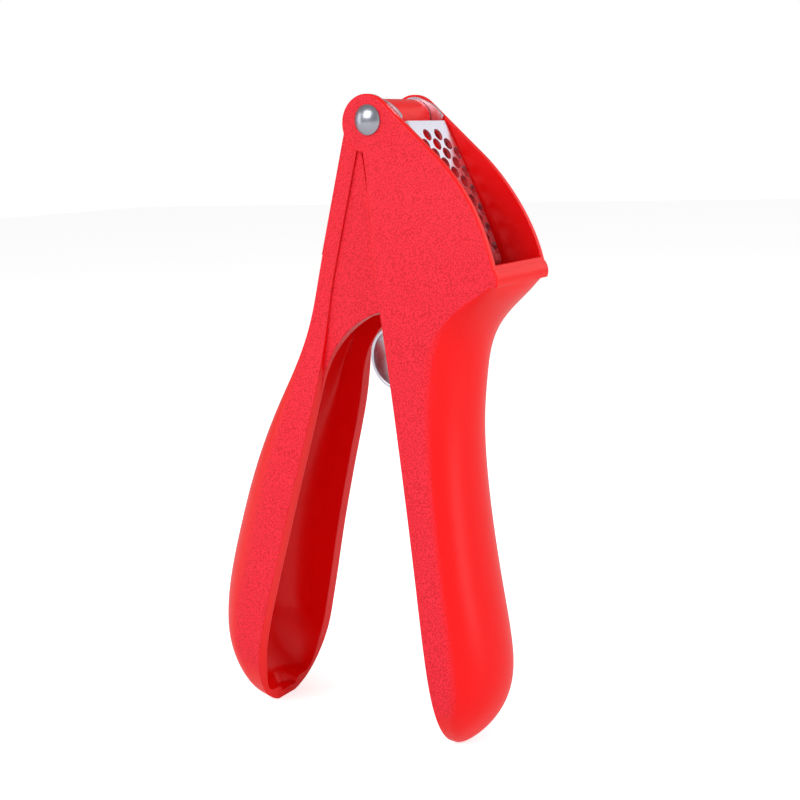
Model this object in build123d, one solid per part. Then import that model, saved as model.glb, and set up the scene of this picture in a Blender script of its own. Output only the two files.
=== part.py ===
from build123d import *
import os
from math import atan2, cos, degrees, hypot, radians, sin

# Garlic press, standing on its two handle ends with the handles apart.  Millimetres, Z up,
# X from the lever side to the mouth side, Y along the hinge pin.  The sub-parts are drawn about
# the middle of the pin, in the XZ plane, and given their width along Y.  At the end the press is
# stood on its handle ends, with the origin under the middle of its box.

# ---- driving dimensions -------------------------------------------------------------------------
BODY_HALF = 12.5            # half width of the chamber handle at the hinge
FLARE = 1.5                 # how much wider each side of the head is at the ledge
FLARE_TOP = -12.0           # height where the head starts to widen
CHEEK_WALL = 1.8            # thickness of each cheek
GRIP_WALL = 2.5             # shell thickness of the chamber handle's grip
LIP_WALL = 3.6              # shell thickness of the lever's grip
EDGE_ROUND = 0.5            # rounding of the cheeks' outer edges
GRIP_STEP = 6.0             # distance between the sections of a grip
EAR_RADIUS = 7.4            # round ear of each cheek
EAR_OFFSET = (-0.8, -0.9)   # centre of the ear from the pin
LEVER_TILT = 13.4           # lean of the lever handle away from the vertical, at rest
CLOSING_ANGLE = 19.0        # travel of the lever from rest to closed
BASKET_RATIO = 0.3          # share of the lever's turn that the basket makes

SHEET = 0.9                 # steel sheet of the basket
SIDE_CLEARANCE = 0.3        # basket to cheek, and plunger to basket, on each side
PLATE_TOP = (9.7, -0.2)     # outer face of the sieve plate: top, middle and foot
PLATE_MIDDLE = (19.35, -17.9)
BASKET_RADIUS = 46.1        # outer radius of the basket's end wall about the pin
PRESS_GAP = 0.4             # plunger to plate when closed
HOLE_DIAMETER = 3.3
HOLE_PITCH = 5.4            # along the pin
ROW_PITCH = 2.7             # down the plate
HOLE_ROWS = 13
FIRST_ROW = 4.1             # from the plate's top edge to the first row

PIN_DIAMETER = 4.2
PIN_CORE = 2.8              # plain shank inside the tubular half
HEAD_DIAMETER = 7.7
HEAD_EDGE = 0.4
HEAD_DOME = 1.7
PRESSED_CLEARANCE = 0.02    # radial, pin in the cheeks
RUNNING_CLEARANCE = 0.05    # radial, lever and basket on the pin

STRIP_STEP = 0.6            # the lever's back strip stands this far out of its sides
LEVER_FACE = 2.6            # front face of that strip, measured back from the pin
LEVER_BACK = 7.5            # back face of that strip
RELIEF_GAP = 0.3            # lever to ear, and web to basket
HUB_RADIUS = 5.3
EYE_RADIUS = 5.9            # eye of each basket arm
LOOP_RADIUS = 9.0           # rolled finger loop under the basket
LOOP_HALF = 6.0             # half width of the loop's strip
LOOP_CENTRE = (5.2, -61.9)

# ---- sizes that follow --------------------------------------------------------------------------
CHEEK_INSIDE = BODY_HALF - CHEEK_WALL
BASKET_HALF = CHEEK_INSIDE - SIDE_CLEARANCE
PLUNGER_HALF = BASKET_HALF - SHEET - SIDE_CLEARANCE
WEB_HALF = CHEEK_INSIDE - SIDE_CLEARANCE
WEB_WALL = 3.1
WEB_FOOT = 76.0
WEB_FOOT_SHARE = 1.2
LEVER_HALF = WEB_HALF + STRIP_STEP
PLUNGER_RADIUS = BASKET_RADIUS - SHEET - PRESS_GAP
WEB_TOP = BASKET_RADIUS + 1.5
SWEEP = CLOSING_ANGLE * (1 - BASKET_RATIO)
RELIEF_RADIUS = EAR_RADIUS + hypot(*EAR_OFFSET) + RELIEF_GAP
BASKET_REAR = 18.5          # angle of the end wall's rear edge, from straight down
PLATE_LEAN = 25.5           # mean lean of the sieve plate

# chamber handle: height, lip, end of the flat side, crown, half width as a share of BODY_HALF
CHAMBER_STATIONS = [
    (-40.0, 2.9, 36.8, 38.7, 1.120),
    (-44.0, 3.5, 30.6, 36.8, 1.112),
    (-50.0, 4.4, 22.6, 31.7, 1.088),
    (-57.0, 5.4, 17.8, 28.2, 1.062),
    (-66.0, 6.7, 15.6, 26.9, 1.042),
    (-77.0, 8.4, 15.5, 26.2, 1.036),
    (-90.0, 10.5, 17.0, 26.6, 1.048),
    (-105.0, 13.0, 19.0, 28.4, 1.080),
    (-122.0, 15.8, 21.6, 31.4, 1.128),
    (-136.0, 18.0, 23.6, 34.4, 1.160),
    (-147.0, 19.7, 25.0, 35.9, 1.152),
    (-155.0, 20.8, 25.4, 34.9, 1.068),
    (-161.5, 21.5, 25.0, 31.9, 0.884),
    (-166.3, 21.9, 24.2, 28.0, 0.608),
    (-169.0, 22.0, 22.8, 24.4, 0.264),
]

# lever handle, upright in its own frame, measured backwards (towards -X) from the pin: height,
# lip, end of the flat side, crown, half width as a share of LEVER_HALF
LEVER_STATIONS = [
    (-36.0, 2.6, 7.3, 7.5, 1.000),
    (-44.0, 2.5, 7.2, 7.6, 1.000),
    (-52.0, 2.0, 7.0, 7.9, 1.006),
    (-60.0, 1.2, 7.0, 8.9, 1.040),
    (-70.0, 0.3, 7.3, 11.4, 1.140),
    (-82.0, -0.2, 7.6, 15.4, 1.255),
    (-96.0, 0.0, 7.6, 19.2, 1.325),
    (-110.0, 0.2, 7.4, 21.5, 1.390),
    (-125.0, 0.2, 7.0, 22.6, 1.470),
    (-140.0, 0.0, 6.6, 22.6, 1.575),
    (-151.0, -0.3, 6.0, 21.2, 1.612),
    (-160.0, -0.8, 5.0, 18.0, 1.540),
    (-168.0, -1.2, 3.6, 12.8, 1.240),
    (-173.4, -1.4, 2.0, 7.6, 0.830),
    (-176.4, -1.4, 0.4, 3.0, 0.360),
]

# inside of each trough near its round end: height, crown, half width as the same shares
CHAMBER_END = [(-155.0, 31.8, 0.864), (-160.5, 28.6, 0.72), (-164.6, 26.0, 0.50), (-166.6, 24.0, 0.20)]
LEVER_END = [(-160.0, 15.0, 1.20), (-166.8, 10.4, 1.06), (-171.4, 5.8, 0.75), (-174.0, 2.0, 0.32)]


# ---- helpers ------------------------------------------------------------------------------------
def polar(radius, angle):
    """Point at a radius from the pin, at an angle from straight down, positive towards +X."""
    return (radius * sin(radians(angle)), -radius * cos(radians(angle)))


def turned(point, angle):
    """Point turned about the pin; a positive angle swings it towards -X."""
    c, s = cos(radians(angle)), sin(radians(angle))
    return (point[0] * c + point[1] * s, -point[0] * s + point[1] * c)


def xz(*points):
    """Points of the XZ profile plane as 3-D vectors at Y = 0."""
    return [Vector(p[0], 0, p[1]) for p in points]


def slab(face, half):
    """Solid of an XZ face, half the width on each side of the middle plane."""
    return extrude(face, amount=half, dir=(0, 1, 0), both=True)


def disc(centre, radius, half):
    """Round slab about an XZ centre."""
    return Pos(centre[0], 0, centre[1]) * Rot(90, 0, 0) * Cylinder(radius, 2 * half)


def bends(heights, values):
    """Second derivative at each height of the natural cubic spline through the values."""
    steps = [b - a for a, b in zip(heights, heights[1:])]
    slopes = [(b - a) / step for a, b, step in zip(values, values[1:], steps)]
    diagonal, right = [1.0], [0.0]
    for i in range(1, len(steps)):
        share = steps[i - 1] / diagonal[-1] if i > 1 else 0.0
        diagonal.append(2 * (steps[i - 1] + steps[i]) - share * steps[i - 1])
        right.append(6 * (slopes[i] - slopes[i - 1]) - share * right[-1])
    result = [0.0] * len(heights)
    for i in range(len(steps) - 1, 0, -1):
        result[i] = (right[i] - steps[i] * result[i + 1]) / diagonal[i]
    return result


def eased(stations):
    """The stations of a grip on smooth curves, one section every GRIP_STEP or less."""
    heights = [station[0] for station in stations]
    columns = [list(column) for column in zip(*stations)]
    curves = [bends(heights, column) for column in columns]
    rows = []
    for i in range(len(stations) - 1):
        span = heights[i + 1] - heights[i]
        steps = max(1, round(abs(span) / GRIP_STEP))
        for step in range(steps):
            b = step / steps
            a = 1 - b
            rows.append([
                a * column[i] + b * column[i + 1]
                + ((a**3 - a) * curve[i] + (b**3 - b) * curve[i + 1]) * span**2 / 6
                for column, curve in zip(columns, curves)
            ])
    rows.append(list(stations[-1]))
    return rows


def section(height, front, side_end, crown, half):
    """Closed horizontal outline: flat front, two straight sides and an elliptical back."""
    depth = crown - side_end
    back = EllipticalCenterArc((side_end, 0), depth, half, start_angle=-90, arc_size=180)
    outline = [
        Line((side_end, half), (front, half)),
        Line((front, half), (front, -half)),
        Line((front, -half), (side_end, -half)),
    ]
    return Pos(0, 0, height) * make_face([back, *outline])


def grip(stations, width):
    """Solid lofted through the stations of a handle; width is the half width the shares refer to."""
    return loft([section(*station[:4], station[4] * width) for station in eased(stations)])


def hollow(stations, width, wall, top, end):
    """Core of a grip from a height downwards: one wall in, open at the front, with a round end."""
    rows = []
    for height, front, side_end, crown, share in eased(stations):
        if end[0][0] < height <= top:
            rows.append((height, front, side_end, crown - wall, share * width - wall))
    for height, crown, share in end:
        rows.append((height, stations[-1][1], stations[-1][1], crown, share * width))
    core = [section(h, front - 12, min(side, crown - 1), crown, half) for h, front, side, crown, half in rows]
    return loft(core)


# ---- the sieve plate's own curve -----------------------------------------------------------------
def plate_foot():
    """Where the plate's outer face meets the end wall."""
    return polar(BASKET_RADIUS, 37.2)


def plate_curve(inset=0.0, turn=0.0):
    """Three points of the plate's outer face, moved inwards and turned about the pin."""
    dx, dz = cos(radians(PLATE_LEAN)), sin(radians(PLATE_LEAN))
    points = [PLATE_TOP, PLATE_MIDDLE, plate_foot()]
    return [turned((x - inset * dx, z - inset * dz), turn) for x, z in points]


# ---- chamber handle -------------------------------------------------------------------------------
def head_outline():
    """Cheek outline: ear, straight and curved mouth, rounded ledge, and the back edge."""
    ear_top = (EAR_OFFSET[0] + EAR_RADIUS * sin(radians(40)), EAR_OFFSET[1] + EAR_RADIUS * cos(radians(40)))
    ear_left = (EAR_OFFSET[0] - EAR_RADIUS, EAR_OFFSET[1])
    ear_foot = (EAR_OFFSET[0] + EAR_RADIUS * sin(radians(-8)), EAR_OFFSET[1] - EAR_RADIUS * cos(radians(-8)))
    mouth = (18.9, -7.7)
    ledge_top = (37.7, -35.6)
    ledge = (CHAMBER_STATIONS[0][3], CHAMBER_STATIONS[0][0])
    back = (CHAMBER_STATIONS[0][1], CHAMBER_STATIONS[0][0])
    return make_face([
        ThreePointArc(*xz(ear_foot, ear_left, ear_top)),
        Line(*xz(ear_top, mouth)),
        ThreePointArc(*xz(mouth, (31.1, -21.2), ledge_top)),
        ThreePointArc(*xz(ledge_top, (38.8, -37.4), ledge)),
        Line(*xz(ledge, back)),
        Line(*xz(back, (0.0, -20.0))),
        Line(*xz((0.0, -20.0), ear_foot)),
    ])


def widening(inset):
    """Prism along X that widens from the hinge to the ledge, each side moved in by the inset."""
    top, low = BODY_HALF - inset, BODY_HALF + FLARE - inset
    foot = -35.6
    left = Spline((-40, top, FLARE_TOP), (-40, low, foot), tangents=[(0, 0, -1), (0, 0, -1)])
    right = Spline((-40, -low, foot), (-40, -top, FLARE_TOP), tangents=[(0, 0, 1), (0, 0, 1)])
    sides = [
        Line((-40, top, 30), (-40, top, FLARE_TOP)),
        left,
        Polyline((-40, low, foot), (-40, low, -90), (-40, -low, -90), (-40, -low, foot)),
        right,
        Line((-40, -top, FLARE_TOP), (-40, -top, 30)),
        Line((-40, -top, 30), (-40, top, 30)),
    ]
    return extrude(make_face(sides), amount=120, dir=(1, 0, 0))


def chamber_space():
    """Room between the cheeks: everything above the ledge and in front of the crown."""
    ledge_inside = (30.6, -36.6)
    return slab(make_face(Polyline(*xz(
        (-30, 20), (60, 20), (60, -34.8), (36.5, -34.8), ledge_inside,
        (27.6, -41.5), (22.5, -47.5), (20.5, -54.0), (20.0, -60.0), (12.0, -76.0), (-30, -76.0), (-30, 20),
    ))), BODY_HALF + FLARE) & widening(CHEEK_WALL)


def chamber_head():
    """Block of the head, its outer edges rounded from the ear to the ledge."""
    head = slab(head_outline(), BODY_HALF + FLARE + 1) & widening(0)
    rims = head.edges().filter_by(lambda edge: abs(edge.center().Y) > BODY_HALF - 0.01)
    rims = rims.filter_by(lambda edge: edge.bounding_box().size.Z > 0.1)
    rims = rims.filter_by(lambda edge: edge.center().Z > -15 or edge.center().X > 10)
    return fillet(rims, EDGE_ROUND)


def chamber_handle():
    """Outer handle: two cheeks, the ledge under the mouth and the trough-shaped grip."""
    body = chamber_head() + grip(CHAMBER_STATIONS, BODY_HALF)
    body -= chamber_space()
    body -= hollow(CHAMBER_STATIONS, BODY_HALF, GRIP_WALL, -56.0, CHAMBER_END)
    body -= disc((0, 0), PIN_DIAMETER / 2 + PRESSED_CLEARANCE, BODY_HALF + 1)
    return body


# ---- lever handle ---------------------------------------------------------------------------------
def lever_point(back, down):
    """XZ point of the lever's upright frame, turned to its rest place."""
    return turned((-back, -down), LEVER_TILT)


def lever_strip():
    """Wide back strip beside the chamber, cut round the ears."""
    corners = [(LEVER_FACE, 6.0), (LEVER_BACK, 2.0), (LEVER_BACK, 38.0), (LEVER_FACE, 38.0)]
    points = [lever_point(*corner) for corner in corners]
    strip = slab(make_face(Polyline(*xz(*points, points[0]))), LEVER_HALF)
    return strip - disc((0, 0), RELIEF_RADIUS, LEVER_HALF + 1)


def plunger():
    """Hub and pressing block, one piece with the lever."""
    top, middle, foot = plate_curve(SHEET + PRESS_GAP, SWEEP)
    scale = PLUNGER_RADIUS / hypot(*foot)
    foot = (foot[0] * scale, foot[1] * scale)
    foot_angle = degrees(atan2(foot[0], -foot[1]))
    web_angle = BASKET_REAR - SWEEP - 1.5
    end = polar(PLUNGER_RADIUS, web_angle)
    back = lever_point(LEVER_FACE + 1, 44.0)
    hub_left = lever_point(HUB_RADIUS, 0.0)
    block = make_face([
        ThreePointArc(*xz(top, middle, foot)),
        ThreePointArc(*xz(foot, polar(PLUNGER_RADIUS, (foot_angle + web_angle) / 2), end)),
        Line(*xz(end, polar(WEB_TOP, web_angle))),
        Line(*xz(polar(WEB_TOP, web_angle), lever_point(LEVER_FACE + 1, WEB_TOP))),
        Line(*xz(lever_point(LEVER_FACE + 1, WEB_TOP), back)),
        Line(*xz(back, hub_left)),
        Line(*xz(hub_left, (0, 0))),
        Line(*xz((0, 0), top)),
    ])
    return slab(block, PLUNGER_HALF) + disc((0, 0), HUB_RADIUS, PLUNGER_HALF)


def side_plate():
    """Wide part of the lever behind the basket, which follows the basket's rear edge when closed."""
    top = polar(EYE_RADIUS + 0.5, -25 - SWEEP)
    foot = polar(BASKET_RADIUS, BASKET_REAR - SWEEP - 1.0)
    left = lever_point(LEVER_FACE + 1, 4.0)
    low = lever_point(LEVER_FACE + 1, WEB_TOP + 1)
    foot_low = polar(WEB_TOP + 1, BASKET_REAR - SWEEP - 2.5)
    points = [top, foot, foot_low, low, left, top]
    plate = slab(make_face(Polyline(*xz(*points))), WEB_HALF)
    return plate - disc((0, 0), EYE_RADIUS + RELIEF_GAP, WEB_HALF + 1)


def web():
    """Two walls under the plunger that run down into the lips, closed on top."""
    web_angle = BASKET_REAR - SWEEP - 1.5
    start = polar(WEB_TOP, web_angle)
    face = make_face([
        Line(*xz(start, lever_point(LEVER_FACE + 1, WEB_TOP - 2))),
        Line(*xz(lever_point(LEVER_FACE + 1, WEB_TOP - 2), lever_point(LEVER_FACE + 1, 76.0))),
        Line(*xz(lever_point(LEVER_FACE + 1, 76.0), lever_point(0.0, 76.0))),
        Line(*xz(lever_point(0.0, 76.0), lever_point(0.0, 71.0))),
        ThreePointArc(*xz(lever_point(0.0, 71.0), lever_point(-5.0, 55.6), lever_point(-13.4, 47.6))),
        Line(*xz(lever_point(-13.4, 47.6), start)),
    ])
    return slab(face, WEB_HALF)


def web_space():
    """Room inside the web, as wide as the grip's hollow at its foot; the finger loop enters it."""
    narrow, wide = WEB_HALF - WEB_WALL, LEVER_HALF * WEB_FOOT_SHARE - LIP_WALL
    corners = [(narrow, -50.0), (narrow, -54.0), (wide, -WEB_FOOT), (wide, -WEB_FOOT - 6)]
    outline = [(-5.2, y, z) for y, z in corners] + [(-5.2, -y, z) for y, z in reversed(corners)]
    room = extrude(make_face(Polyline(*outline, outline[0])), amount=40, dir=(1, 0, 0))
    return Rot(0, LEVER_TILT, 0) * room


def lever_grip():
    """Trough-shaped grip of the lever, turned to its rest place."""
    shell = grip(LEVER_STATIONS, LEVER_HALF)
    shell -= hollow(LEVER_STATIONS, LEVER_HALF, LIP_WALL, -58.0, LEVER_END)
    return Rot(0, LEVER_TILT, 0) * mirror(shell, about=Plane.YZ)


def lever_handle():
    """Inner handle with its plunger, web and grip."""
    body = lever_grip() + lever_strip() + web() + side_plate()
    body -= web_space()
    body += plunger()
    body -= disc((0, 0), PIN_DIAMETER / 2 + RUNNING_CLEARANCE, BODY_HALF)
    return body


# ---- sieve basket ---------------------------------------------------------------------------------
def basket_side():
    """XZ outline of a side wall with its eye."""
    top, middle, foot = plate_curve()
    foot_angle = degrees(atan2(foot[0], -foot[1]))
    rear = polar(BASKET_RADIUS, BASKET_REAR)
    eye_left = polar(EYE_RADIUS, -25)
    eye_top = (1.5, (EYE_RADIUS**2 - 1.5**2) ** 0.5)
    return make_face([
        ThreePointArc(*xz(top, middle, foot)),
        ThreePointArc(*xz(foot, polar(BASKET_RADIUS, (foot_angle + BASKET_REAR) / 2), rear)),
        Line(*xz(rear, eye_left)),
        ThreePointArc(*xz(eye_left, (-EYE_RADIUS, 0), eye_top)),
        ThreePointArc(*xz(eye_top, (6.6, 3.6), top)),
    ])


def basket_room():
    """Inside of the basket, open towards the plunger."""
    top, middle, foot = plate_curve(SHEET)
    inner = BASKET_RADIUS - SHEET
    scale = inner / hypot(*foot)
    foot = (foot[0] * scale, foot[1] * scale)
    foot_angle = degrees(atan2(foot[0], -foot[1]))
    above = (top[0] - 6, top[1] + 12)
    face = make_face([
        ThreePointArc(*xz(top, middle, foot)),
        ThreePointArc(*xz(foot, polar(inner, foot_angle / 2), polar(inner, 0))),
        Line(*xz(polar(inner, 0), (-20, -inner))),
        Line(*xz((-20, -inner), (-20, 20))),
        Line(*xz((-20, 20), above)),
        Line(*xz(above, top)),
    ])
    return slab(face, BASKET_HALF - SHEET)


def sieve_holes():
    """Round holes in staggered rows, square to the plate."""
    top, middle, foot = [Vector(p[0], 0, p[1]) for p in plate_curve()]
    curve = ThreePointArc(top, middle, foot)
    holes = []
    for row in range(HOLE_ROWS):
        place = (FIRST_ROW + row * ROW_PITCH) / curve.length
        centre = curve @ place
        along = curve % place
        normal = Vector(-along.Z, 0, along.X)
        count = 2 if row == 0 else 4 - row % 2
        for index in range(count):
            y = (index - (count - 1) / 2) * HOLE_PITCH
            plane = Plane(origin=(centre.X, y, centre.Z), z_dir=normal)
            holes.append(plane * Cylinder(HOLE_DIAMETER / 2, 4 * SHEET))
    return holes


def finger_loop():
    """Strip that leaves the end wall and curls round into a loop."""
    cx, cz = LOOP_CENTRE
    ring = disc(LOOP_CENTRE, LOOP_RADIUS, LOOP_HALF) - disc(LOOP_CENTRE, LOOP_RADIUS - SHEET, LOOP_HALF + 1)
    gap = Pos(cx + LOOP_RADIUS * cos(radians(52)), 0, cz + LOOP_RADIUS * sin(radians(52)))
    ring -= gap * Box(7.0, 2 * LOOP_HALF + 2, 7.5)
    start = polar(BASKET_RADIUS - SHEET / 2, BASKET_REAR)
    right = cx + LOOP_RADIUS
    stem = make_face(Polyline(*xz(
        (start[0], start[1] + 0.4), (start[0] + SHEET, start[1] + 0.1), (right, cz + 0.2),
        (right - SHEET, cz + 0.2), (start[0], start[1] + 0.4),
    )))
    return ring + slab(stem, LOOP_HALF)


def sieve_basket():
    """Folded sheet basket: plate, two side walls with eyes, end wall and finger loop."""
    box = slab(basket_side(), BASKET_HALF) - basket_room()
    box -= sieve_holes()
    box += finger_loop()
    box -= disc((0, 0), PIN_DIAMETER / 2 + RUNNING_CLEARANCE, BODY_HALF)
    return box


# ---- hinge rivet ----------------------------------------------------------------------------------
def rivet_head(side):
    """Domed head on one cheek; side is -1 near the front, +1 at the back."""
    radius = HEAD_DIAMETER / 2
    sphere = (radius**2 + HEAD_DOME**2) / (2 * HEAD_DOME)
    centre = BODY_HALF + HEAD_EDGE + HEAD_DOME - sphere
    dome = Pos(0, side * centre, 0) * Sphere(sphere)
    length = HEAD_EDGE + HEAD_DOME + 1
    column = Pos(0, side * (BODY_HALF + length / 2), 0) * Rot(90, 0, 0) * Cylinder(radius, length)
    return dome & column


def shank(radius, start, end):
    """Cylinder along the pin between two places on Y."""
    return Pos(0, (start + end) / 2, 0) * Rot(90, 0, 0) * Cylinder(radius, abs(end - start))


def rivet_tube():
    """Rear half: head and tubular shank."""
    tube = rivet_head(1) + shank(PIN_DIAMETER / 2, -BODY_HALF + 0.5, BODY_HALF + HEAD_EDGE)
    return tube - shank(PIN_CORE / 2, -BODY_HALF - 1, BODY_HALF - 3.0)


def rivet_post():
    """Front half: head and plain shank, driven into the tube."""
    return rivet_head(-1) + shank(PIN_CORE / 2, -BODY_HALF - HEAD_EDGE, BODY_HALF - 4.0)


# ---- output ---------------------------------------------------------------------------------------
def stand_angle():
    """Turn about the pin that brings both handle ends to one level."""
    chamber_end = ((CHAMBER_STATIONS[-1][1] + CHAMBER_STATIONS[-1][3]) / 2, CHAMBER_STATIONS[-1][0])
    lever_end = lever_point(LEVER_STATIONS[-1][1], -LEVER_STATIONS[-1][0])
    return degrees(atan2(chamber_end[1] - lever_end[1], chamber_end[0] - lever_end[0]))


PARTS = {
    "chamber_handle": chamber_handle,
    "lever_handle": lever_handle,
    "sieve_basket": sieve_basket,
    "rivet_tube": rivet_tube,
    "rivet_post": rivet_post,
}

stand = Rot(0, stand_angle(), 0)
solids = {name: stand * make() for name, make in PARTS.items()}
box = Compound(list(solids.values())).bounding_box()
place = Pos(-(box.min.X + box.max.X) / 2, 0, -box.min.Z)

os.makedirs("parts", exist_ok=True)
for name, solid in solids.items():
    export_step(place * solid, f"parts/{name}.step")
    print(name, "volume", round(solid.volume, 1), "solids", len(solid.solids()))
print("stand angle", round(stand_angle(), 3), "degrees")
print("pin", [round(value, 4) for value in place.position], "mm")
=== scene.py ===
"""Garlic press with red plastic handles and a perforated steel basket, dressed over its CAD frame.

Shapes are drawn in millimetres about the middle of the hinge pin, in the upright frame of the outer
handle: X towards the mouth, Y along the pin, Z up.  ``Stand`` carries them into the row frame.
"""
import logging
import math
from dataclasses import dataclass, field
from enum import Enum

import bmesh
import bpy
from mathutils import Matrix, Vector

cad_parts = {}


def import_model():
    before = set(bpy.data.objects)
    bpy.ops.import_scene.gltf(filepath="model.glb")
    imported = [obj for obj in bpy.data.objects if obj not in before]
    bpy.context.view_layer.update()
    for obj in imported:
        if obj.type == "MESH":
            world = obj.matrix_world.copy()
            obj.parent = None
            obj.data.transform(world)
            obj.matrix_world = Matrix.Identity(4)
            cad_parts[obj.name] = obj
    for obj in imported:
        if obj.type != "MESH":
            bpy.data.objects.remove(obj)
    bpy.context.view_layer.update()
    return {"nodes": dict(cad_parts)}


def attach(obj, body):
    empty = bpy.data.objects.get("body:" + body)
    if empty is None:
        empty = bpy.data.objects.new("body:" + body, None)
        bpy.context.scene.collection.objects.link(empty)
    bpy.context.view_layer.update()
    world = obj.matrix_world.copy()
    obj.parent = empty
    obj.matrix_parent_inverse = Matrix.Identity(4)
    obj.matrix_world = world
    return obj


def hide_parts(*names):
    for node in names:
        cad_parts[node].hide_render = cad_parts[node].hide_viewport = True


LOG = logging.getLogger("garlic_press")
MM = 0.001
Colour = tuple[float, float, float]
Point = tuple[float, float]


class Body(str, Enum):
    """Rigid bodies of the frame."""

    CHAMBER = "chamber"
    LEVER = "lever"
    BASKET = "basket"


class Slot(str, Enum):
    """Material slots of the record."""

    PLASTIC = "red_plastic"
    SIEVE = "sieve_steel"
    RIVET = "rivet_steel"


# ---- finishes -------------------------------------------------------------------------------------
@dataclass(frozen=True)
class PlasticFinish:
    """Moulded plastic: smooth rims and backs, fine spark-eroded grain on the flat sides, whose colour is
    lifted towards pink as painted sheen.
    """

    smooth: Colour = (0.88, 0.001, 0.002)
    # lighter grain colour, pinker than the smooth red: its pink lift is painted sheen on the grained flat
    # sides
    grain_and_sheen: Colour = (0.92, 0.020, 0.042)
    pit: Colour = (0.70, 0.008, 0.022)
    smooth_roughness: float = 0.30
    grain_roughness: float = 0.58
    grain_size: float = 0.42 * MM
    grain_height: float = 0.05 * MM
    wave_size: float = 9.0 * MM
    specular: float = 0.28
    rim: float = 0.45 * MM
    subsurface: float = 0.06
    subsurface_reach: float = 1.2 * MM


@dataclass(frozen=True)
class SteelFinish:
    """Steel sheet or turned steel with a drawn or polished surface."""

    tint: Colour = (0.76, 0.75, 0.84)
    roughness: float = 0.30
    variation: float = 0.10
    scratch_size: float = 0.12 * MM
    scratch_stretch: float = 14.0
    scratch_height: float = 0.0015 * MM


class NodeTree:
    """Small helper that adds and links shader or geometry nodes."""

    def __init__(self, tree: bpy.types.NodeTree) -> None:
        """Wrap a node tree."""
        self.tree = tree

    def add(self, kind: str, **settings: object) -> bpy.types.Node:
        """Add a node and set its properties.

        Args:
            kind: Blender's node type name.
            settings: properties to set on the node.

        Returns:
            The new node.
        """
        node = self.tree.nodes.new(kind)
        for name, value in settings.items():
            setattr(node, name, value)
        return node

    def link(self, source: bpy.types.NodeSocket, target: bpy.types.NodeSocket) -> None:
        """Join an output to an input."""
        self.tree.links.new(source, target)

    def feed(self, socket: bpy.types.NodeSocket, value: object) -> None:
        """Link a socket, or set it when the value is a constant."""
        if isinstance(value, bpy.types.NodeSocket):
            self.link(value, socket)
        else:
            socket.default_value = value

    def math(self, operation: str, *values: object) -> bpy.types.NodeSocket:
        """Result of a math node.

        Args:
            operation: the node's operation.
            values: sockets or numbers for its inputs, in order.

        Returns:
            The node's output socket.
        """
        node = self.add("ShaderNodeMath", operation=operation)
        for socket, value in zip(node.inputs, values):
            self.feed(socket, value)
        return node.outputs[0]

    def ramp(self, value: object, low: float, high: float) -> bpy.types.NodeSocket:
        """Smooth step of a value between two limits."""
        node = self.add("ShaderNodeMapRange", interpolation_type="SMOOTHSTEP")
        self.feed(node.inputs["Value"], value)
        node.inputs["From Min"].default_value = low
        node.inputs["From Max"].default_value = high
        return node.outputs["Result"]

    def blend(self, factor: object, low: object, high: object) -> bpy.types.NodeSocket:
        """Mix of two numbers."""
        node = self.add("ShaderNodeMix", data_type="FLOAT")
        for socket, value in zip((node.inputs[0], node.inputs[2], node.inputs[3]), (factor, low, high)):
            self.feed(socket, value)
        return node.outputs[0]

    def tint(self, factor: object, low: object, high: object) -> bpy.types.NodeSocket:
        """Mix of two colours, each a socket or three numbers."""
        node = self.add("ShaderNodeMix", data_type="RGBA")
        self.feed(node.inputs[0], factor)
        for socket, value in ((node.inputs[6], low), (node.inputs[7], high)):
            self.feed(socket, (*value, 1.0) if isinstance(value, tuple) else value)
        return node.outputs[2]

    def noise(self, place: object, size: float, detail: float = 2.0) -> bpy.types.NodeSocket:
        """Noise whose features are about ``size`` metres across."""
        node = self.add("ShaderNodeTexNoise")
        self.link(place, node.inputs["Vector"])
        node.inputs["Scale"].default_value = 1.0 / size
        node.inputs["Detail"].default_value = detail
        return node.outputs["Fac"]

    def rounded(self, radius: float) -> bpy.types.NodeSocket:
        """Normal that shades the edges as if they had a small radius."""
        node = self.add("ShaderNodeBevel", samples=6)
        node.inputs["Radius"].default_value = radius
        return node.outputs["Normal"]

    def bump(self, height: object, distance: float, normal: object = None) -> bpy.types.NodeSocket:
        """Normal bent by a height.

        Args:
            height: socket with the height.
            distance: metres that a height of one stands for.
            normal: socket with the normal to bend, or None for the surface's own.

        Returns:
            The bent normal.
        """
        node = self.add("ShaderNodeBump")
        if normal is not None:
            self.link(normal, node.inputs["Normal"])
        self.link(height, node.inputs["Height"])
        node.inputs["Distance"].default_value = distance
        return node.outputs["Normal"]


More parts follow.
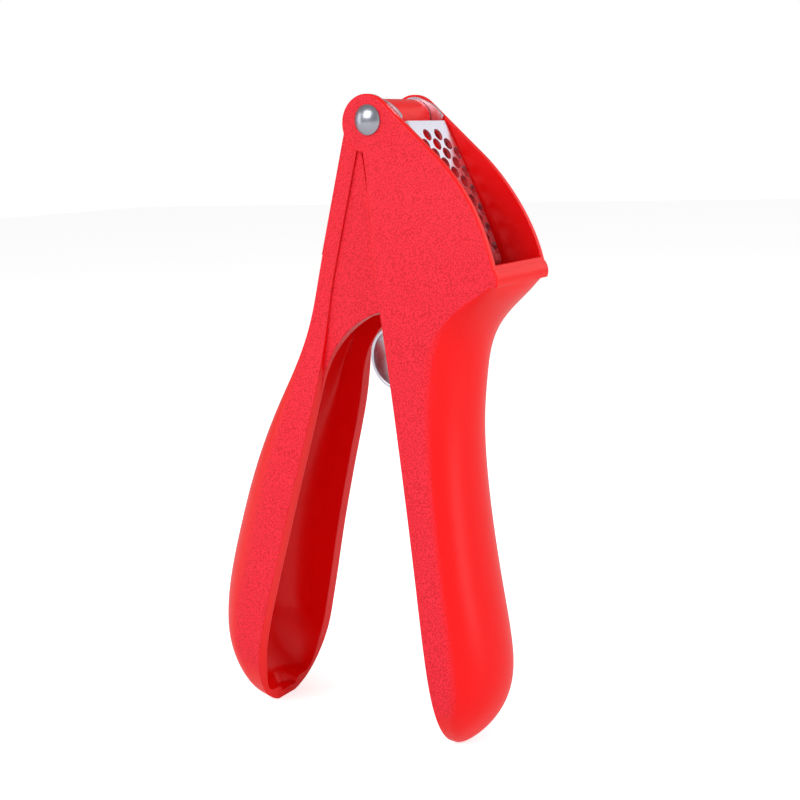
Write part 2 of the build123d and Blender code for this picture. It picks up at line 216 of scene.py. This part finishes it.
class Palette:
    """Makes the materials of the press."""

    def __init__(self, plastic: PlasticFinish, sheet: SteelFinish, polished: SteelFinish) -> None:
        """Build every material once."""
        self.plastic = self._plastic("red_plastic", plastic)
        self.sheet = self._steel("sieve_sheet", sheet)
        self.polished = self._steel("rivet_polish", polished)

    @staticmethod
    def _start(name: str) -> tuple[bpy.types.Material, NodeTree, bpy.types.Node, bpy.types.NodeSocket]:
        """New material with its helper, its surface node and its object coordinates."""
        material = bpy.data.materials.new(name)
        material.use_nodes = True
        nodes = NodeTree(material.node_tree)
        surface = material.node_tree.nodes["Principled BSDF"]
        place = nodes.add("ShaderNodeTexCoord").outputs["Object"]
        return material, nodes, surface, place

    def _plastic(self, name: str, finish: PlasticFinish) -> bpy.types.Material:
        """Moulded plastic, grained on the flat outer sides with a pinker base colour that paints their
        sheen, and smooth inside.
        """
        material, nodes, surface, place = self._start(name)
        normal = nodes.add("ShaderNodeNewGeometry").outputs["True Normal"]
        facing, spot = nodes.add("ShaderNodeSeparateXYZ"), nodes.add("ShaderNodeSeparateXYZ")
        nodes.link(normal, facing.inputs[0])
        nodes.link(place, spot.inputs[0])
        outward = nodes.math("MULTIPLY", facing.outputs["Y"], nodes.math("SIGN", spot.outputs["Y"]))
        flat = nodes.ramp(outward, 0.90, 0.995)
        fine = nodes.noise(place, finish.grain_size, 3.0)
        wave = nodes.noise(place, finish.wave_size, 1.0)
        pits = nodes.ramp(fine, 0.42, 0.56)
        # grain speckle runs from the pit colour to a pinker colour; the dark pits are real grain, the pink
        # lift is painted sheen on the flat sides
        grain_sheen_tone = nodes.tint(pits, finish.pit, finish.grain_and_sheen)
        nodes.link(nodes.tint(flat, finish.smooth, grain_sheen_tone), surface.inputs["Base Color"])
        rough = nodes.blend(flat, finish.smooth_roughness, finish.grain_roughness)
        nodes.link(nodes.math("ADD", rough, nodes.math("MULTIPLY", wave, 0.06)), surface.inputs["Roughness"])
        surface.inputs["Specular IOR Level"].default_value = finish.specular
        surface.inputs["Subsurface Weight"].default_value = finish.subsurface
        surface.inputs["Subsurface Scale"].default_value = finish.subsurface_reach
        height = nodes.math("MULTIPLY", fine, nodes.blend(flat, 0.12, 1.0))
        bent = nodes.bump(height, finish.grain_height, nodes.rounded(finish.rim))
        nodes.link(bent, surface.inputs["Normal"])
        return material

    def _steel(self, name: str, finish: SteelFinish) -> bpy.types.Material:
        """Steel with fine lines drawn down it."""
        material, nodes, surface, place = self._start(name)
        stretch = nodes.add("ShaderNodeMapping")
        nodes.link(place, stretch.inputs["Vector"])
        stretch.inputs["Scale"].default_value = (1.0, finish.scratch_stretch, 1.0)
        lines = nodes.noise(stretch.outputs["Vector"], finish.scratch_size * finish.scratch_stretch, 3.0)
        surface.inputs["Base Color"].default_value = (*finish.tint, 1.0)
        surface.inputs["Metallic"].default_value = 1.0
        spread = nodes.math("MULTIPLY", nodes.math("SUBTRACT", lines, 0.5), 2.0 * finish.variation)
        nodes.link(nodes.math("ADD", spread, finish.roughness), surface.inputs["Roughness"])
        nodes.link(nodes.bump(lines, finish.scratch_height), surface.inputs["Normal"])
        return material


# ---- geometry -------------------------------------------------------------------------------------
@dataclass(frozen=True)
class Stand:
    """Carries millimetres about the pin into metres in the row frame."""

    pin: tuple[float, float, float] = (12.5538, 0.0, 169.9525)
    lean: float = 2.668

    def matrix(self) -> Matrix:
        """Transform from drawing millimetres to the row frame."""
        turn = Matrix.Rotation(math.radians(self.lean), 4, "Y")
        return Matrix.Scale(MM, 4) @ Matrix.Translation(self.pin) @ turn


def polar(radius: float, angle: float) -> Point:
    """XZ point at a radius from the pin, at an angle in degrees from straight down, towards +X."""
    return (radius * math.sin(math.radians(angle)), -radius * math.cos(math.radians(angle)))


@dataclass(frozen=True)
class Arc:
    """Circular arc through three XZ points."""

    start: Point
    middle: Point
    end: Point

    def circle(self) -> tuple[Point, float]:
        """Centre and radius of the arc."""
        (ax, az), (bx, bz), (cx, cz) = self.start, self.middle, self.end
        d = 2 * (ax * (bz - cz) + bx * (cz - az) + cx * (az - bz))
        a, b, c = ax * ax + az * az, bx * bx + bz * bz, cx * cx + cz * cz
        ux = (a * (bz - cz) + b * (cz - az) + c * (az - bz)) / d
        uz = (a * (cx - bx) + b * (ax - cx) + c * (bx - ax)) / d
        return (ux, uz), math.hypot(ax - ux, az - uz)

    def angles(self) -> tuple[float, float]:
        """Angles of the two ends about the centre, in radians."""
        (ux, uz), _ = self.circle()
        first = math.atan2(self.start[1] - uz, self.start[0] - ux)
        last = math.atan2(self.end[1] - uz, self.end[0] - ux)
        return first, last

    def points(self, count: int) -> list[Point]:
        """Evenly spaced points from start to end."""
        (ux, uz), radius = self.circle()
        first, last = self.angles()
        steps = [first + (last - first) * i / count for i in range(count + 1)]
        return [(ux + radius * math.cos(a), uz + radius * math.sin(a)) for a in steps]


class Sculptor:
    """Turns drawn shapes into finished objects that ride on the frame's bodies."""

    def __init__(self, stand: Stand) -> None:
        """Keep the transform into the row frame."""
        self.transform = stand.matrix()

    def object(self, name: str, shape: bmesh.types.BMesh) -> bpy.types.Object:
        """Object made from drawing millimetres, with its normals outward."""
        bmesh.ops.recalc_face_normals(shape, faces=shape.faces)
        shape.transform(self.transform)
        mesh = bpy.data.meshes.new(name)
        shape.to_mesh(mesh)
        shape.free()
        obj = bpy.data.objects.new(name, mesh)
        bpy.context.collection.objects.link(obj)
        return obj

    @staticmethod
    def bake(obj: bpy.types.Object) -> None:
        """Apply every modifier of an object to its mesh."""
        graph = bpy.context.evaluated_depsgraph_get()
        mesh = bpy.data.meshes.new_from_object(obj.evaluated_get(graph))
        obj.modifiers.clear()
        obj.data = mesh

    @staticmethod
    def finish(obj: bpy.types.Object, material: bpy.types.Material, body: Body, slot: Slot,
               crease: float = 35.0) -> None:
        """Smooth an object, give it its material and put it on its body.

        Args:
            obj: the piece.
            material: its finish.
            body: the rigid body it moves with.
            slot: the record's material slot; not used.
            crease: edges sharper than this many degrees stay hard.
        """
        obj.data.materials.clear()
        obj.data.materials.append(material)
        obj.data.shade_smooth()
        obj.data.set_sharp_from_angle(angle=math.radians(crease))
        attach(obj, body.value)


@dataclass
class SievePerforation:
    """Geometry-node tree that punches staggered rows of round holes through a curved plate."""

    rows: int = 13
    columns: int = 4
    pitch: float = 5.4
    row_pitch: float = 2.7
    first_row: float = 4.1
    diameter: float = 3.3
    depth: float = 3.4
    sides: int = 40
    tree: bpy.types.NodeTree = field(init=False)

    def __post_init__(self) -> None:
        """Build the node tree once."""
        self.tree = self._build()

    def _socket(self, name: str, kind: str) -> None:
        """Add a named input to the tree."""
        self.tree.interface.new_socket(name, in_out="INPUT", socket_type=kind)

    def _build(self) -> bpy.types.NodeTree:
        """Tree: a cutter at each hole, turned square to the plate, taken away from the sheet."""
        self.tree = tree = bpy.data.node_groups.new("sieve_perforation", "GeometryNodeTree")
        for name, kind in (
            ("Sheet", "NodeSocketGeometry"), ("Rows", "NodeSocketInt"), ("Columns", "NodeSocketInt"),
            ("Pitch", "NodeSocketFloat"), ("Row Pitch", "NodeSocketFloat"), ("First Row", "NodeSocketFloat"),
            ("Diameter", "NodeSocketFloat"), ("Depth", "NodeSocketFloat"), ("Sides", "NodeSocketInt"),
            ("Centre", "NodeSocketVector"), ("Radius", "NodeSocketFloat"), ("Start", "NodeSocketFloat"),
            ("Material", "NodeSocketMaterial"),
        ):
            self._socket(name, kind)
        tree.interface.new_socket("Punched", in_out="OUTPUT", socket_type="NodeSocketGeometry")
        nodes = NodeTree(tree)
        given = nodes.add("NodeGroupInput").outputs
        index = nodes.add("GeometryNodeInputIndex").outputs[0]
        row = nodes.math("FLOOR", nodes.math("DIVIDE", index, given["Columns"]))
        column = nodes.math("FLOORED_MODULO", index, given["Columns"])
        staggered = nodes.math("SUBTRACT", given["Columns"], nodes.math("FLOORED_MODULO", row, 2.0))
        first_row = nodes.math("LESS_THAN", row, 0.5)
        count = nodes.math("SUBTRACT", staggered, nodes.math("MULTIPLY", first_row, 2.0))
        middle = nodes.math("MULTIPLY", nodes.math("SUBTRACT", count, 1.0), 0.5)
        across = nodes.math("MULTIPLY", nodes.math("SUBTRACT", column, middle), given["Pitch"])
        along = nodes.math("MULTIPLY_ADD", row, given["Row Pitch"], given["First Row"])
        angle = nodes.math("SUBTRACT", given["Start"], nodes.math("DIVIDE", along, given["Radius"]))
        spot = nodes.add("ShaderNodeCombineXYZ")
        nodes.link(nodes.math("MULTIPLY", nodes.math("COSINE", angle), given["Radius"]), spot.inputs["X"])
        nodes.link(across, spot.inputs["Y"])
        nodes.link(nodes.math("MULTIPLY", nodes.math("SINE", angle), given["Radius"]), spot.inputs["Z"])
        place = nodes.add("ShaderNodeVectorMath", operation="ADD")
        nodes.link(given["Centre"], place.inputs[0])
        nodes.link(spot.outputs[0], place.inputs[1])

        total = nodes.math("MULTIPLY", given["Rows"], given["Columns"])
        points = nodes.add("GeometryNodePoints")
        nodes.link(total, points.inputs["Count"])
        nodes.link(place.outputs[0], points.inputs["Position"])
        cutter = nodes.add("GeometryNodeMeshCylinder")
        nodes.link(given["Sides"], cutter.inputs["Vertices"])
        nodes.link(nodes.math("MULTIPLY", given["Diameter"], 0.5), cutter.inputs["Radius"])
        nodes.link(given["Depth"], cutter.inputs["Depth"])
        turn = nodes.add("ShaderNodeCombineXYZ")
        nodes.link(nodes.math("SUBTRACT", math.pi / 2, angle), turn.inputs["Y"])
        spread = nodes.add("GeometryNodeInstanceOnPoints")
        nodes.link(points.outputs[0], spread.inputs["Points"])
        nodes.link(nodes.math("LESS_THAN", column, count), spread.inputs["Selection"])
        nodes.link(cutter.outputs["Mesh"], spread.inputs["Instance"])
        nodes.link(turn.outputs[0], spread.inputs["Rotation"])
        real = nodes.add("GeometryNodeRealizeInstances")
        nodes.link(spread.outputs[0], real.inputs[0])
        punch = nodes.add("GeometryNodeMeshBoolean", operation="DIFFERENCE", solver="EXACT")
        nodes.link(given["Sheet"], punch.inputs["Mesh 1"])
        nodes.link(real.outputs[0], punch.inputs["Mesh 2"])
        dress = nodes.add("GeometryNodeSetMaterial")
        nodes.link(punch.outputs["Mesh"], dress.inputs["Geometry"])
        nodes.link(given["Material"], dress.inputs["Material"])
        nodes.link(dress.outputs[0], nodes.add("NodeGroupOutput").inputs["Punched"])
        return tree

    def punch(self, obj: bpy.types.Object, plate: Arc, stand: Stand, material: bpy.types.Material) -> None:
        """Punch the holes through an object.

        Args:
            obj: the folded sheet, in the row frame.
            plate: the outer face of the plate, in drawing millimetres.
            stand: the transform into the row frame.
            material: the finish of the punched sheet.
        """
        centre, radius = plate.circle()
        first, _ = plate.angles()
        middle = stand.matrix() @ Vector((centre[0], 0.0, centre[1]))
        values = {
            "Rows": self.rows, "Columns": self.columns, "Pitch": self.pitch * MM,
            "Row Pitch": self.row_pitch * MM, "First Row": self.first_row * MM,
            "Diameter": self.diameter * MM, "Depth": self.depth * MM, "Sides": self.sides,
            "Centre": middle, "Radius": radius * MM, "Start": first - math.radians(stand.lean),
            "Material": material,
        }
        modifier = obj.modifiers.new("perforation", "NODES")
        modifier.node_group = self.tree
        names = {item.name: item.identifier for item in self.tree.interface.items_tree}
        for name, value in values.items():
            modifier[names[name]] = value
        Sculptor.bake(obj)


@dataclass
class SieveBasket:
    """Folded sheet basket: plate, side walls with eyes, end wall and finger loop."""

    sheet: float = 0.9
    half: float = 10.4
    bend: float = 1.6
    radius: float = 46.1
    foot_angle: float = 37.2
    rear_angle: float = 18.5
    eye_radius: float = 5.9
    plate_top: Point = (9.7, -0.2)
    plate_middle: Point = (19.35, -17.9)
    loop_centre: Point = (5.2, -61.9)
    loop_radius: float = 9.0
    loop_half: float = 6.0
    perforation: SievePerforation = field(default_factory=SievePerforation)

    def plate(self) -> Arc:
        """Outer face of the sieve plate."""
        return Arc(self.plate_top, self.plate_middle, polar(self.radius, self.foot_angle))

    def spine(self) -> list[Point]:
        """Middle line of the outer face: down the plate, round the fold and along the end wall."""
        down = self.plate().points(44)
        span = self.foot_angle - self.rear_angle
        along = [polar(self.radius, self.foot_angle - span * i / 14) for i in range(15)]
        before, corner, after = down[-3], down[-1], along[2]
        fold = []
        for i in range(7):
            t = i / 6
            fold.append(tuple(
                (1 - t) ** 2 * before[k] + 2 * t * (1 - t) * corner[k] + t * t * after[k] for k in range(2)
            ))
        return down[:-3] + fold + along[3:]

    def inward(self, line: list[Point]) -> list[Point]:
        """The spine moved inwards by the bend radius."""
        moved = []
        for i, (x, z) in enumerate(line):
            before, after = line[max(i - 1, 0)], line[min(i + 1, len(line) - 1)]
            dx, dz = after[0] - before[0], after[1] - before[1]
            length = math.hypot(dx, dz)
            moved.append((x + dz / length * self.bend, z - dx / length * self.bend))
        return moved

    def skin(self) -> bmesh.types.BMesh:
        """Outer skin of the sheet, one face thick."""
        shape = bmesh.new()
        spine = self.spine()
        inner = self.inward(spine)
        arc = [math.radians(90 * i / 6) for i in range(7)]
        flat = [self.half - self.bend - 2 * (self.half - self.bend) * i / 16 for i in range(1, 16)]
        rows = []
        for outer, inset in zip(spine, inner):
            side = [
                (inset[0] + (outer[0] - inset[0]) * math.sin(a),
                 self.half - self.bend + self.bend * math.cos(a),
                 inset[1] + (outer[1] - inset[1]) * math.sin(a)) for a in arc
            ]
            level = [(outer[0], y, outer[1]) for y in flat]
            other = [(x, -y, z) for x, y, z in reversed(side)]
            rows.append([shape.verts.new(p) for p in side + level + other])
        for lower, upper in zip(rows, rows[1:]):
            for a, b, c, d in zip(lower, lower[1:], upper[1:], upper):
                shape.faces.new((a, b, c, d))
        for end, sign in ((0, 1), (-1, -1)):
            rim = [shape.verts.new((x, sign * self.half, z)) for x, z in self.back_edge()]
            shape.faces.new([row[end] for row in rows] + rim)
        return shape

    def back_edge(self) -> list[Point]:
        """Free edge of a side wall, from the end wall round the eye to the top of the plate."""
        eye = [math.radians(245 - 170 * i / 20) for i in range(21)]
        points = [(self.eye_radius * math.cos(a), self.eye_radius * math.sin(a)) for a in eye]
        rise = [(3.6, 4.85), (5.4, 4.0), (7.2, 2.75), (8.6, 1.2)]
        return points + rise

    def loop(self) -> bmesh.types.BMesh:
        """Strip that leaves the end wall and curls round under the basket."""
        start = polar(self.radius - self.sheet / 2, self.rear_angle)
        cx, cz = self.loop_centre
        reach = self.loop_radius - self.sheet / 2
        curl = [math.radians(8 - 320 * i / 64) for i in range(65)]
        path = [(start[0] + 0.9, start[1] + 0.3), (start[0] + 0.5, start[1] - 2.5)]
        path += [(cx + reach * math.cos(a), cz + reach * math.sin(a)) for a in curl]
        shape = bmesh.new()
        ends = []
        for i, (x, z) in enumerate(path):
            before, after = path[max(i - 1, 0)], path[min(i + 1, len(path) - 1)]
            dx, dz = after[0] - before[0], after[1] - before[1]
            length = math.hypot(dx, dz)
            nx, nz = -dz / length * self.sheet / 2, dx / length * self.sheet / 2
            ring = [(x + nx, -self.loop_half, z + nz), (x + nx, self.loop_half, z + nz),
                    (x - nx, self.loop_half, z - nz), (x - nx, -self.loop_half, z - nz)]
            ends.append([shape.verts.new(p) for p in ring])
        for lower, upper in zip(ends, ends[1:]):
            for k in range(4):
                shape.faces.new((lower[k], lower[(k + 1) % 4], upper[(k + 1) % 4], upper[k]))
        shape.faces.new(ends[0])
        shape.faces.new(ends[-1])
        return shape

    def build(self, sculptor: Sculptor, stand: Stand, palette: Palette) -> None:
        """Make the basket and its loop in place of the CAD basket."""
        basket = sculptor.object("basket_sheet", self.skin())
        thick = basket.modifiers.new("sheet", "SOLIDIFY")
        thick.thickness = self.sheet * MM
        thick.offset = -1.0
        thick.use_even_offset = True
        Sculptor.bake(basket)
        self.perforation.punch(basket, self.plate(), stand, palette.sheet)
        loop = sculptor.object("basket_finger_loop", self.loop())
        edge = loop.modifiers.new("edge", "BEVEL")
        edge.width = 0.18 * MM
        edge.segments = 2
        edge.limit_method = "ANGLE"
        Sculptor.bake(loop)
        for piece in (basket, loop):
            Sculptor.finish(piece, palette.sheet, Body.BASKET, Slot.SIEVE)
            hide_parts("sieve_basket")


@dataclass
class CarriedNodes:
    """CAD nodes that keep their shape and take a finish."""

    plastic: tuple[str, ...] = ("chamber_handle", "lever_handle")
    polished: tuple[str, ...] = ("rivet_tube", "rivet_post")

    def dress(self, nodes: dict[str, bpy.types.Object], palette: Palette) -> None:
        """Give each carried node its material."""
        for names, material in ((self.plastic, palette.plastic), (self.polished, palette.polished)):
            for name in names:
                for holder in nodes[name].material_slots:
                    holder.material = material


# ---- studio ---------------------------------------------------------------------------------------
@dataclass(frozen=True)
class View:
    """Camera by the direction it looks in, its roll and the point it looks at."""

    azimuth: float = 33.47
    elevation: float = 10.94
    roll: float = -2.28
    aim: tuple[float, float, float] = (20.0 * MM, -14.0 * MM, 98.3 * MM)
    distance: float = 338.3 * MM
    lens: float = 58.5

    def build(self) -> None:
        """Create the camera and make it the scene's."""
        az, el, ro = (math.radians(v) for v in (self.azimuth, self.elevation, self.roll))
        ahead = Vector((-math.sin(az) * math.cos(el), math.cos(az) * math.cos(el), -math.sin(el)))
        level = Vector((math.cos(az), math.sin(az), 0.0))
        up = level.cross(ahead)
        right = level * math.cos(ro) + up * math.sin(ro)
        top = right.cross(ahead)
        camera = bpy.data.cameras.new("studio_camera")
        camera.lens = self.lens
        camera.clip_start = 0.01
        holder = bpy.data.objects.new("studio_camera", camera)
        turn = Matrix((right, top, -ahead)).transposed().to_4x4()
        holder.matrix_world = Matrix.Translation(Vector(self.aim) - ahead * self.distance) @ turn
        bpy.context.collection.objects.link(holder)
        bpy.context.scene.camera = holder


@dataclass(frozen=True)
class SoftBox:
    """Rectangular studio light aimed at the press."""

    name: str
    place: tuple[float, float, float]
    size: tuple[float, float]
    power: float
    aim: tuple[float, float, float] = (0.0, 0.0, 0.09)

    def build(self) -> None:
        """Create the light."""
        light = bpy.data.lights.new(self.name, "AREA")
        light.shape = "RECTANGLE"
        light.size, light.size_y = self.size
        light.energy = self.power
        holder = bpy.data.objects.new(self.name, light)
        way = Vector(self.aim) - Vector(self.place)
        holder.location = self.place
        holder.rotation_euler = way.to_track_quat("-Z", "Y").to_euler()
        bpy.context.collection.objects.link(holder)


@dataclass
class Studio:
    """Pale floor, white surroundings, soft boxes and the camera."""

    floor_half: float = 3.0
    floor_colour: Colour = (0.93, 0.93, 0.93)
    floor_glow: float = 0.62
    surround: float = 0.36
    boxes: tuple[SoftBox, ...] = (
        SoftBox("key_box", (-0.15, -0.80, 0.62), (0.60, 0.50), 5.0),
        SoftBox("side_box", (0.90, -0.10, 0.40), (0.35, 0.80), 4.6),
        SoftBox("left_box", (-0.80, -0.40, 0.30), (0.40, 0.60), 1.1),
        SoftBox("back_box", (0.50, 0.80, 0.42), (0.70, 0.60), 1.1),
    )
    view: View = field(default_factory=View)

    def build(self) -> None:
        """Create everything round the press."""
        self._floor()
        world = bpy.data.worlds.new("white_surround")
        world.use_nodes = True
        nodes = NodeTree(world.node_tree)
        back = world.node_tree.nodes["Background"]
        back.inputs["Color"].default_value = (1.0, 1.0, 1.0, 1.0)
        seen = nodes.add("ShaderNodeLightPath").outputs["Is Camera Ray"]
        nodes.link(nodes.blend(seen, self.surround, 1.0), back.inputs["Strength"])
        bpy.context.scene.world = world
        bpy.context.scene.view_settings.view_transform = "Standard"
        for box in self.boxes:
            box.build()
        self.view.build()

    def _floor(self) -> None:
        """Plain pale floor under the press."""
        shape = bmesh.new()
        h = self.floor_half
        shape.faces.new([shape.verts.new(p) for p in ((-h, -h, 0), (h, -h, 0), (h, h, 0), (-h, h, 0))])
        mesh = bpy.data.meshes.new("studio_floor")
        shape.to_mesh(mesh)
        shape.free()
        floor = bpy.data.objects.new("studio_floor", mesh)
        bpy.context.collection.objects.link(floor)
        material = bpy.data.materials.new("floor_paper")
        material.use_nodes = True
        surface = material.node_tree.nodes["Principled BSDF"]
        surface.inputs["Base Color"].default_value = (*self.floor_colour, 1.0)
        surface.inputs["Roughness"].default_value = 0.9
        surface.inputs["Emission Color"].default_value = (1.0, 1.0, 1.0, 1.0)
        nodes = NodeTree(material.node_tree)
        seen = nodes.add("ShaderNodeLightPath").outputs["Is Camera Ray"]
        glow = nodes.math("MULTIPLY", seen, self.floor_glow)
        nodes.link(glow, surface.inputs["Emission Strength"])
        mesh.materials.append(material)


def main() -> None:
    """Build the press's looks over its CAD frame."""
    logging.basicConfig(level=logging.INFO, format="%(name)s: %(message)s")
    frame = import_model()
    stand = Stand()
    palette = Palette(
        PlasticFinish(),
        SteelFinish(),
        SteelFinish(tint=(0.42, 0.43, 0.49), roughness=0.30, variation=0.05, scratch_stretch=1.0),
    )
    sculptor = Sculptor(stand)
    SieveBasket().build(sculptor, stand, palette)
    CarriedNodes().dress(frame["nodes"], palette)
    Studio().build()


if __name__ == "__main__":
    main()
